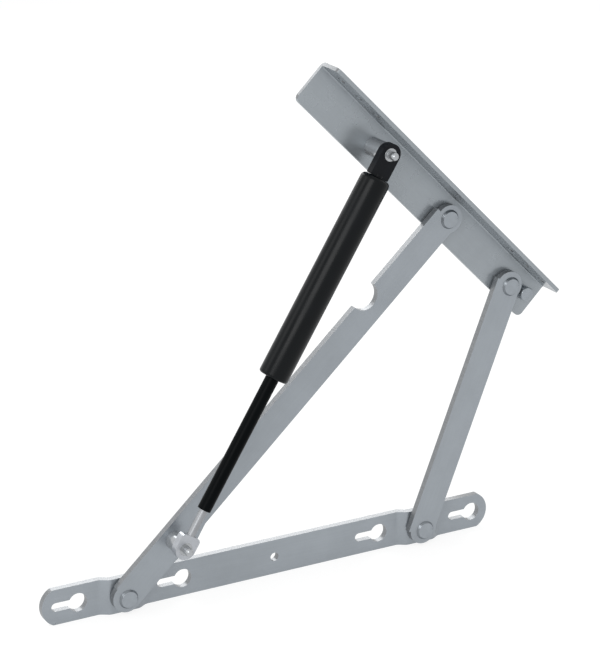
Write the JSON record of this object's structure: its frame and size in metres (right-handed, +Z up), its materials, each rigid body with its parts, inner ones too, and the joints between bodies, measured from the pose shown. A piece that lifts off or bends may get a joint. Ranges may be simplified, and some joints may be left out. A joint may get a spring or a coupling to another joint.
{
  "type": "bed lift mechanism",
  "caption": "Four-bar bed lift linkage with a keyholed base bar, two arms, an angle bracket and a gas spring between long arm and bracket.",
  "frame": {"origin": "the base bar's centre hole, on the back face that lies on the bed rail", "axes": "+X along the base bar, +Y from the bar back into the bed rail, +Z up"},
  "size_m": [0.4133, 0.042, 0.3807],
  "materials": {
    "zinc_plated_steel": "bright zinc plate, satin",
    "bright_steel": "turned steel, zinc plated",
    "black_painted_steel": "satin black paint",
    "black_nitrided_steel": "smooth black nitrided steel",
    "guide_plastic": "moulded, matt",
    "seal_rubber": "matt",
    "piston_alloy": "machined",
    "ring_plastic": "moulded, matt"
  },
  "bodies": {
    "base": {"base_bar": "zinc_plated_steel", "left_base_rivet": "bright_steel", "right_base_rivet_tail": "bright_steel", "base_pivot_washers": "bright_steel"},
    "long_arm": {"long_arm": "zinc_plated_steel", "lower_stud_body": "bright_steel"},
    "bracket": {"top_bracket": "zinc_plated_steel", "bracket_rivets": "bright_steel", "bracket_pivot_washers": "bright_steel", "bracket_stop_pin": "bright_steel", "upper_stud": "bright_steel"},
    "short_arm": {"short_arm": "zinc_plated_steel", "right_base_rivet_head": "bright_steel"},
    "tube": {"spring_tube": "black_painted_steel", "upper_end_fitting": "black_painted_steel", "tube_end_plug": "bright_steel", "rod_guide": "guide_plastic", "rod_seal": "seal_rubber"},
    "rod": {"piston_rod": "black_nitrided_steel", "piston": "piston_alloy", "piston_ring": "ring_plastic", "rod_end_fitting": "bright_steel", "lower_stud_pin": "bright_steel"}
  },
  "joints": [
    {"name": "long_arm_fold", "type": "hinge", "parent": "base", "child": "long_arm", "pos_m": [-0.1225, 0, -0.001], "axis": [0, 1, 0], "range_deg": [0, 33.02], "stiffness_Nm_per_rad": 44.66, "springref_deg": -82.55},
    {"name": "bracket_fold", "type": "hinge", "parent": "long_arm", "child": "bracket", "pos_m": [0.13829, 0, 0.24134], "axis": [0, 1, 0], "range_deg": [-78.01, 0]},
    {"name": "short_arm_fold", "type": "hinge", "parent": "bracket", "child": "short_arm", "pos_m": [0.19346, 0, 0.18125], "axis": [0, 1, 0], "range_deg": [0, 96.71]},
    {"name": "tube_swing", "type": "hinge", "parent": "bracket", "child": "tube", "pos_m": [0.07674, 0, 0.30212], "axis": [0, 1, 0], "range_deg": [0, 90.58]},
    {"name": "rod_slide", "type": "slide", "parent": "tube", "child": "rod", "axis": [0.5232, 0, 0.8522], "range_m": [0, 0.09275]}
  ],
  "couplings": [
    {"joint": "bracket_fold", "follows": "long_arm_fold", "ratio": -2.3623},
    {"joint": "short_arm_fold", "follows": "long_arm_fold", "ratio": 2.9287},
    {"joint": "tube_swing", "follows": "long_arm_fold", "ratio": 2.743},
    {"joint": "rod_slide", "follows": "long_arm_fold", "m_per_rad": 0.16086}
  ]
}
